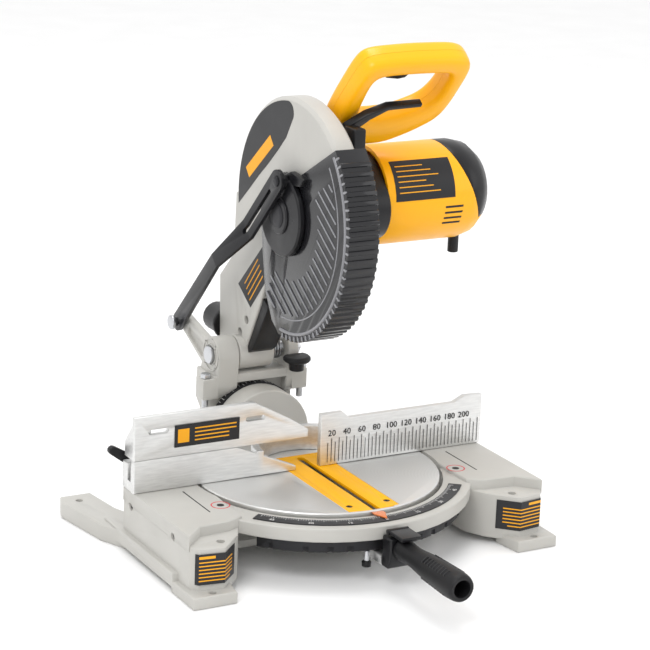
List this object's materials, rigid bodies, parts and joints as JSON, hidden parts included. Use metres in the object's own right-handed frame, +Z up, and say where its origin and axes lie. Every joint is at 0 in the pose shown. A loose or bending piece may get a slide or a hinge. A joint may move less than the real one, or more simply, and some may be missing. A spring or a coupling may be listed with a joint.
{
  "type": "compound miter saw",
  "caption": "Compound miter saw with a turntable, a tilting chop arm, a ribbed lower blade guard, a yellow D handle and a side motor.",
  "frame": {"origin": "centre of the bounding box on the floor: z = 0 is the underside of the feet", "axes": "+X to the operator's right, along the fence, away from the blade's plane and towards the motor; +Y away from the operator, along the blade at miter 0; +Z up"},
  "size_m": [0.51, 0.591, 0.5698],
  "materials": {
    "cast_paint": "warm light grey paint on die castings, satin, fine orange-peel grain",
    "machined": "milled aluminium with fine parallel cutter marks",
    "steel": "bright turned steel",
    "dark_steel": "black oxide, satin",
    "blade_steel": "ground steel with concentric grinding marks",
    "black_plastic": "black glass-filled nylon, matte grain",
    "black_rubber": "black ribbed rubber",
    "yellow_plastic": "yellow moulded nylon, satin gloss",
    "smoke_plastic": "dark smoked polycarbonate with raised ribs",
    "copper": "copper windings under lacquer",
    "spring_steel": "oiled spring wire"
  },
  "bodies": {
    "base": {"base_casting": "cast_paint", "miter_scale": "dark_steel", "detent_plate": "dark_steel", "table_pivot_bolt": "steel", "fixed_fence": "machined", "fence_bolt_1": "steel", "fence_bolt_2": "steel", "fence_bolt_3": "steel", "fence_bolt_4": "steel"},
    "sliding_fence_body": {"sliding_fence": "machined"},
    "fence_clamp_body": {"fence_clamp_lever": "black_plastic"},
    "turntable_body": {"turntable": "machined", "kerf_plate": "yellow_plastic", "kerf_screw_1": "steel", "kerf_screw_2": "steel", "kerf_screw_3": "steel", "kerf_screw_4": "steel", "bevel_housing": "cast_paint", "bevel_scale": "dark_steel", "miter_pointer": "black_plastic", "miter_bracket": "black_plastic"},
    "miter_handle_body": {"miter_handle": "black_rubber", "miter_lock_rod": "steel"},
    "miter_latch_body": {"miter_latch": "black_plastic"},
    "trunnion_body": {"trunnion": "cast_paint", "chop_pivot_pin": "steel", "return_spring": "spring_steel", "bevel_stop_bolt_left": "steel", "bevel_stop_bolt_right": "steel", "head_bumper": "black_rubber", "link_pivot_bolt": "steel"},
    "bevel_clamp_body": {"bevel_clamp_lever": "black_plastic"},
    "lockdown_pin_body": {"lockdown_pin": "steel"},
    "guard_link_body": {"guard_link": "black_plastic"},
    "head": {"head_casting": "cast_paint", "dust_chute": "black_plastic", "dust_spout": "black_plastic", "gear_case": "black_plastic", "motor_housing": "yellow_plastic", "motor_end_cap": "black_plastic", "cord_gland": "black_rubber", "motor_stator": "copper", "carbon_brush_front": "dark_steel", "carbon_brush_rear": "dark_steel", "handle_front_shell": "yellow_plastic", "handle_rear_shell": "yellow_plastic", "lever_bracket": "black_plastic"},
    "spindle_lock_body": {"spindle_lock": "black_plastic"},
    "trigger_body": {"trigger": "black_plastic"},
    "release_lever_body": {"guard_release_lever": "black_plastic"},
    "armature_body": {"armature": "copper"},
    "blade_body": {"saw_blade": "blade_steel", "arbor_shaft": "steel", "blade_flange_outer": "steel", "blade_flange_inner": "steel", "blade_bolt": "dark_steel", "drive_gear": "steel"},
    "lower_guard_body": {"lower_guard": "smoke_plastic", "guard_hub_cover": "black_plastic"}
  },
  "joints": [
    {"name": "miter", "type": "hinge", "parent": "base", "child": "turntable_body", "pos_m": [0, 0.0295, 0.074], "axis": [0, 0, 1], "range_deg": [-48, 48]},
    {"name": "bevel", "type": "hinge", "parent": "turntable_body", "child": "trunnion_body", "pos_m": [0, 0.1965, 0.074], "axis": [0, 1, 0], "range_deg": [-45, 3]},
    {"name": "chop", "type": "hinge", "parent": "trunnion_body", "child": "head", "pos_m": [0, 0.2015, 0.169], "axis": [1, 0, 0], "range_deg": [0, 57], "stiffness_Nm_per_rad": 16, "springref_deg": -13.58},
    {"name": "blade_spin", "type": "hinge", "parent": "head", "child": "blade_body", "pos_m": [0, 0.0835, 0.366], "axis": [1, 0, 0], "continuous": true},
    {"name": "armature_spin", "type": "hinge", "parent": "head", "child": "armature_body", "pos_m": [0.15, 0.1135, 0.3725], "axis": [1, 0, 0], "continuous": true},
    {"name": "guard_swing", "type": "hinge", "parent": "head", "child": "lower_guard_body", "pos_m": [0, 0.0835, 0.366], "axis": [1, 0, 0], "range_deg": [-111.58, 0]},
    {"name": "link_swing", "type": "hinge", "parent": "trunnion_body", "child": "guard_link_body", "pos_m": [-0.05, 0.2835, 0.188], "axis": [1, 0, 0], "range_deg": [0, 42.89]},
    {"name": "fence_slide", "type": "slide", "parent": "base", "child": "sliding_fence_body", "axis": [-1, 0, 0], "range_m": [0, 0.085]},
    {"name": "fence_clamp", "type": "hinge", "parent": "base", "child": "fence_clamp_body", "pos_m": [-0.208, 0.0695, 0.096], "axis": [0, 1, 0], "range_deg": [0, 60]},
    {"name": "miter_lock", "type": "hinge", "parent": "turntable_body", "child": "miter_handle_body", "pos_m": [0, -0.1725, 0.049], "axis": [0, 1, 0], "range_deg": [0, 90]},
    {"name": "miter_latch_tilt", "type": "hinge", "parent": "turntable_body", "child": "miter_latch_body", "pos_m": [0, -0.1605, 0.066], "axis": [-1, 0, 0], "range_deg": [0, 9], "stiffness_Nm_per_rad": 0.15},
    {"name": "bevel_clamp", "type": "hinge", "parent": "trunnion_body", "child": "bevel_clamp_body", "pos_m": [0, 0.2415, 0.074], "axis": [0, 1, 0], "range_deg": [-50, 0]},
    {"name": "lockdown", "type": "slide", "parent": "trunnion_body", "child": "lockdown_pin_body", "axis": [-1, 0, 0], "range_m": [0, 0.008]},
    {"name": "spindle_lock_press", "type": "slide", "parent": "head", "child": "spindle_lock_body", "axis": [0, -1, 0], "range_m": [0, 0.0035], "stiffness_N_per_m": 500},
    {"name": "trigger_pull", "type": "slide", "parent": "head", "child": "trigger_body", "axis": [0, -0.6074, 0.7944], "range_m": [0, 0.005], "stiffness_N_per_m": 500},
    {"name": "guard_release", "type": "hinge", "parent": "head", "child": "release_lever_body", "pos_m": [0.028, 0.04084, 0.47045], "axis": [0, -0.7944, -0.6074], "range_deg": [0, 8], "stiffness_Nm_per_rad": 0.3}
  ],
  "couplings": [
    {"joint": "armature_spin", "follows": "blade_spin", "ratio": -3.2857},
    {"joint": "guard_swing", "follows": "chop", "ratio": -1.94},
    {"joint": "link_swing", "follows": "chop", "ratio": 0.735}
  ]
}
